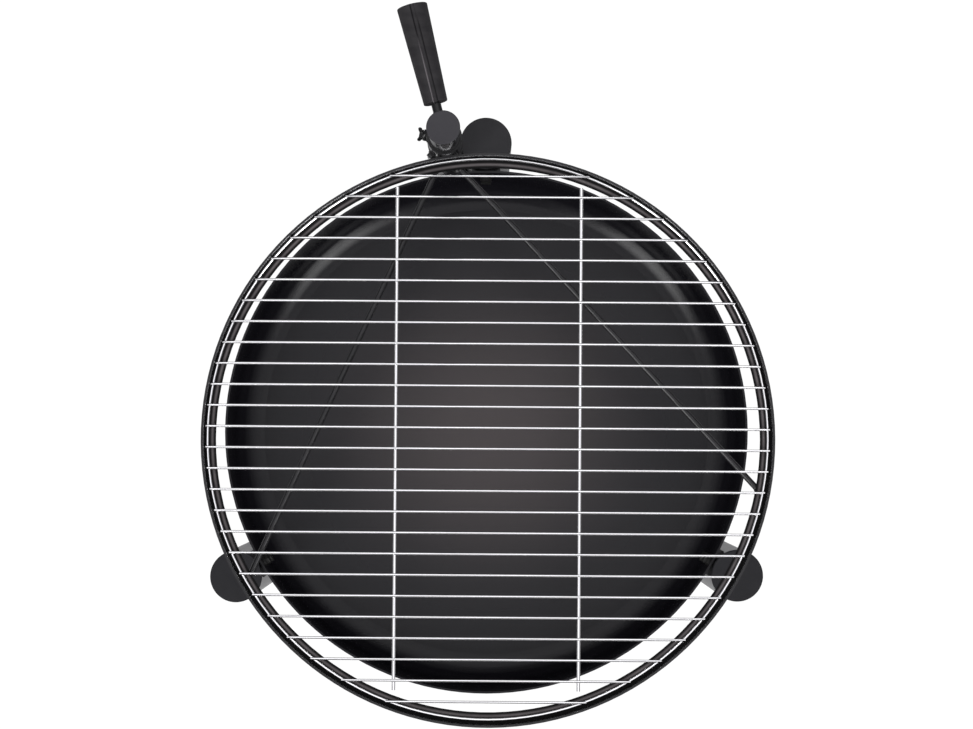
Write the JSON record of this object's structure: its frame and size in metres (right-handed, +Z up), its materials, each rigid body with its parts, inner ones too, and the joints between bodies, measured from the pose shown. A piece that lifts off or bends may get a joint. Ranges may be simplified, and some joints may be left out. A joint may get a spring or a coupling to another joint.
{
  "type": "brazier grill",
  "caption": "Round steel fire bowl bolted inside tube legs, with a chrome grate in a round ring that slides up and down a post and swings aside by a handle.",
  "frame": {"origin": "on the floor under the feet, below the middle of the plan's bounding box", "axes": "+Z up, +Y from the front towards the rear leg, the post and the handle"},
  "size_m": [0.5354, 0.6606, 0.6295],
  "materials": {
    "bowl_black": "satin black, heat resistant",
    "tube_black": "glossy black",
    "ring_black": "satin black",
    "cap_grey": "fine matt",
    "zinc": "zinc plated",
    "grip_black": "smooth, half matt",
    "chrome": "bright"
  },
  "bodies": {
    "stand": {"fire_bowl": "bowl_black", "leg_rear": "tube_black", "leg_left": "tube_black", "leg_right": "tube_black", "leg_cap_rear": "cap_grey", "leg_cap_left": "cap_grey", "leg_cap_right": "cap_grey", "foot_rear": "cap_grey", "foot_left": "cap_grey", "foot_right": "cap_grey", "bowl_saddle_rear": "tube_black", "bowl_saddle_left": "tube_black", "bowl_saddle_right": "tube_black", "bowl_bolts": "tube_black", "bowl_washers": "tube_black", "leg_nuts": "zinc", "post": "tube_black", "post_cap": "cap_grey", "post_plug": "cap_grey", "post_saddles": "tube_black", "post_bolts": "tube_black", "post_washers": "tube_black", "post_nuts": "zinc"},
    "collar": {"stop_collar": "tube_black", "collar_nut": "tube_black"},
    "collar_screw": {"collar_screw": "zinc"},
    "grill": {"swivel_sleeve": "tube_black", "sleeve_nut": "tube_black", "ring_hoop": "ring_black", "ring_ledge": "ring_black", "arm_left": "ring_black", "arm_right": "ring_black", "handle_nut": "tube_black", "handle_rod": "tube_black", "handle_grip": "grip_black"},
    "wing_screw": {"wing_screw": "tube_black"},
    "grate": {"grate_ring": "chrome", "grate_rods": "chrome", "grate_cross_rods": "chrome"}
  },
  "joints": [
    {"name": "height_slide", "type": "slide", "parent": "stand", "child": "collar", "axis": [0, 0, 1], "range_m": [-0.1, 0.055]},
    {"name": "grill_swing", "type": "hinge", "parent": "collar", "child": "grill", "pos_m": [-0.03753, 0.2044, 0.54], "axis": [0, 0, 1], "continuous": true},
    {"name": "wing_screw_turn", "type": "hinge", "parent": "grill", "child": "wing_screw", "pos_m": [-0.03753, 0.2044, 0.5485], "axis": [-0.9851, 0.1719, 0], "range_deg": [0, 720]},
    {"name": "collar_screw_turn", "type": "hinge", "parent": "collar", "child": "collar_screw", "pos_m": [-0.03753, 0.2044, 0.5103], "axis": [-0.6947, -0.7193, 0], "range_deg": [0, 720]},
    {"name": "grate_lift_off", "type": "slide", "parent": "grill", "child": "grate", "axis": [0, 0, 1], "range_m": [0, 0.1]}
  ]
}
